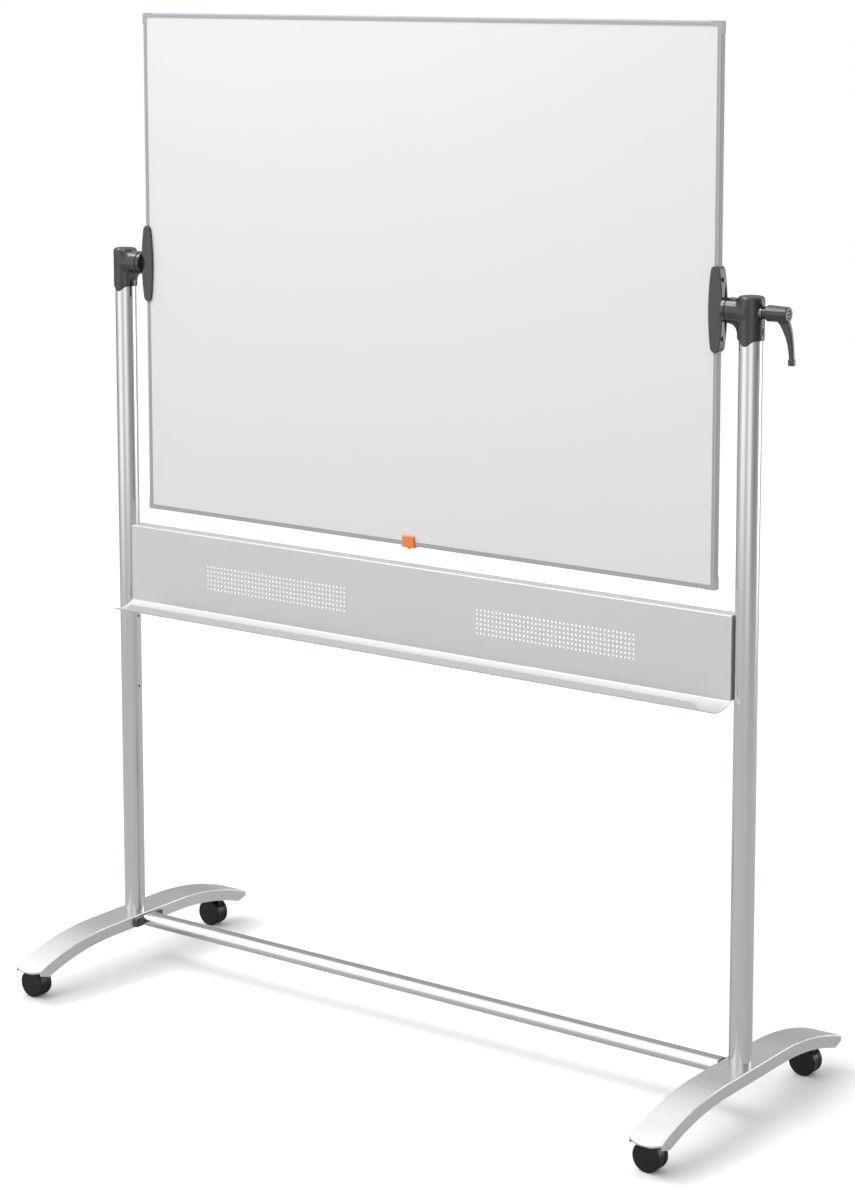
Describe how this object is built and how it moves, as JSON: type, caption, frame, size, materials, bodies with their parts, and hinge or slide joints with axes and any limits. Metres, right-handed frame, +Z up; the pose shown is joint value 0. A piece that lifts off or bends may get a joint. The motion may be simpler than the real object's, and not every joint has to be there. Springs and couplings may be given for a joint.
{
  "type": "rolling whiteboard",
  "caption": "Double-sided framed whiteboard that flips between two posts, with a clamp lever, pen tray, arched feet, crossbar and twin-wheel castors.",
  "frame": {"origin": "on the floor midway between the two posts, under the middle of the board", "axes": "+X along the board towards the clamp lever, +Y towards the back, +Z up"},
  "size_m": [1.4251, 0.59, 1.768],
  "materials": {
    "post_silver": "satin anodised tube with long reflections",
    "foot_silver": "fine silver powder coat",
    "tray_silver": "smooth silver paint on sheet",
    "frame_silver": "natural anodised extrusion",
    "corner_silver": "light grey moulded corners",
    "writing_white": "glossy enamelled steel, off-white",
    "core_board": "particle board core, hidden",
    "dark_grey_plastic": "dark grey satin moulded plastic",
    "lever_black": "black satin clamping lever",
    "black_plastic": "black moulded plastic",
    "castor_hood_black": "black semi-gloss plastic",
    "wheel_black": "black nylon wheels",
    "bright_steel": "zinc plated steel",
    "dark_steel": "blackened steel",
    "orange_plastic": "orange moulded plastic"
  },
  "bodies": {
    "stand": {"castor_sockets": "black_plastic", "clamp_washer": "bright_steel", "crossbar": "post_silver", "crossbar_bracket_left": "dark_grey_plastic", "crossbar_bracket_right": "dark_grey_plastic", "crossbar_nuts": "bright_steel", "crossbar_screws": "bright_steel", "foot_left": "foot_silver", "foot_right": "foot_silver", "friction_rings": "black_plastic", "housing_screws": "dark_steel", "pen_trough": "tray_silver", "pivot_bushes": "black_plastic", "pivot_housing_left": "dark_grey_plastic", "pivot_housing_right": "dark_grey_plastic", "post_bolts": "bright_steel", "post_left": "post_silver", "post_plugs": "black_plastic", "post_right": "post_silver", "tray_bracket_left": "black_plastic", "tray_bracket_right": "black_plastic", "tray_panel": "tray_silver", "tray_screws": "bright_steel"},
    "board": {"board_core": "core_board", "board_face_front": "writing_white", "board_face_back": "writing_white", "rail_bottom": "frame_silver", "rail_top": "frame_silver", "rail_left": "frame_silver", "rail_right": "frame_silver", "frame_corners": "corner_silver", "edge_bracket_left": "dark_grey_plastic", "edge_bracket_right": "dark_grey_plastic", "bracket_screws": "bright_steel", "hub_disc_left": "dark_grey_plastic", "hub_disc_right": "dark_grey_plastic", "pivot_shaft_left": "bright_steel", "pivot_shaft_right": "bright_steel", "rail_clip": "orange_plastic"},
    "clamp": {"clamp_stud": "bright_steel", "clamp_collar": "lever_black", "clamp_handle_screw": "bright_steel"},
    "clamp_lever": {"clamp_handle": "lever_black"},
    "castor_left_front_swivel": {"castor_left_front_hood": "castor_hood_black", "castor_left_front_stem": "bright_steel"},
    "castor_left_front_rolling": {"castor_left_front_wheels": "wheel_black", "castor_left_front_axle": "bright_steel"},
    "castor_left_back_swivel": {"castor_left_back_hood": "castor_hood_black", "castor_left_back_stem": "bright_steel"},
    "castor_left_back_rolling": {"castor_left_back_wheels": "wheel_black", "castor_left_back_axle": "bright_steel"},
    "castor_right_front_swivel": {"castor_right_front_hood": "castor_hood_black", "castor_right_front_stem": "bright_steel"},
    "castor_right_front_rolling": {"castor_right_front_wheels": "wheel_black", "castor_right_front_axle": "bright_steel"},
    "castor_right_back_swivel": {"castor_right_back_hood": "castor_hood_black", "castor_right_back_stem": "bright_steel"},
    "castor_right_back_rolling": {"castor_right_back_wheels": "wheel_black", "castor_right_back_axle": "bright_steel"}
  },
  "joints": [
    {"name": "board_flip", "type": "hinge", "parent": "stand", "child": "board", "pos_m": [0, 0, 1.318], "axis": [1, 0, 0], "continuous": true},
    {"name": "clamp_turn", "type": "hinge", "parent": "stand", "child": "clamp", "pos_m": [0.69, 0, 1.318], "axis": [1, 0, 0], "range_deg": [0, 180]},
    {"name": "lever_pull_out", "type": "slide", "parent": "clamp", "child": "clamp_lever", "axis": [1, 0, 0], "range_m": [0, 0.004], "stiffness_N_per_m": 1500, "springref_m": -0.002},
    {"name": "castor_left_front_swivel_turn", "type": "hinge", "parent": "stand", "child": "castor_left_front_swivel", "pos_m": [-0.656, -0.256, 0.055], "axis": [0, 0, 1], "continuous": true},
    {"name": "castor_left_front_wheel_spin", "type": "hinge", "parent": "castor_left_front_swivel", "child": "castor_left_front_rolling", "pos_m": [-0.666, -0.256, 0.025], "axis": [0, 1, 0], "continuous": true},
    {"name": "castor_left_back_swivel_turn", "type": "hinge", "parent": "stand", "child": "castor_left_back_swivel", "pos_m": [-0.656, 0.235, 0.055], "axis": [0, 0, 1], "continuous": true},
    {"name": "castor_left_back_wheel_spin", "type": "hinge", "parent": "castor_left_back_swivel", "child": "castor_left_back_rolling", "pos_m": [-0.666, 0.235, 0.025], "axis": [0, 1, 0], "continuous": true},
    {"name": "castor_right_front_swivel_turn", "type": "hinge", "parent": "stand", "child": "castor_right_front_swivel", "pos_m": [0.656, -0.256, 0.055], "axis": [0, 0, 1], "continuous": true},
    {"name": "castor_right_front_wheel_spin", "type": "hinge", "parent": "castor_right_front_swivel", "child": "castor_right_front_rolling", "pos_m": [0.646, -0.256, 0.025], "axis": [0, 1, 0], "continuous": true},
    {"name": "castor_right_back_swivel_turn", "type": "hinge", "parent": "stand", "child": "castor_right_back_swivel", "pos_m": [0.656, 0.235, 0.055], "axis": [0, 0, 1], "continuous": true},
    {"name": "castor_right_back_wheel_spin", "type": "hinge", "parent": "castor_right_back_swivel", "child": "castor_right_back_rolling", "pos_m": [0.646, 0.235, 0.025], "axis": [0, 1, 0], "continuous": true}
  ]
}
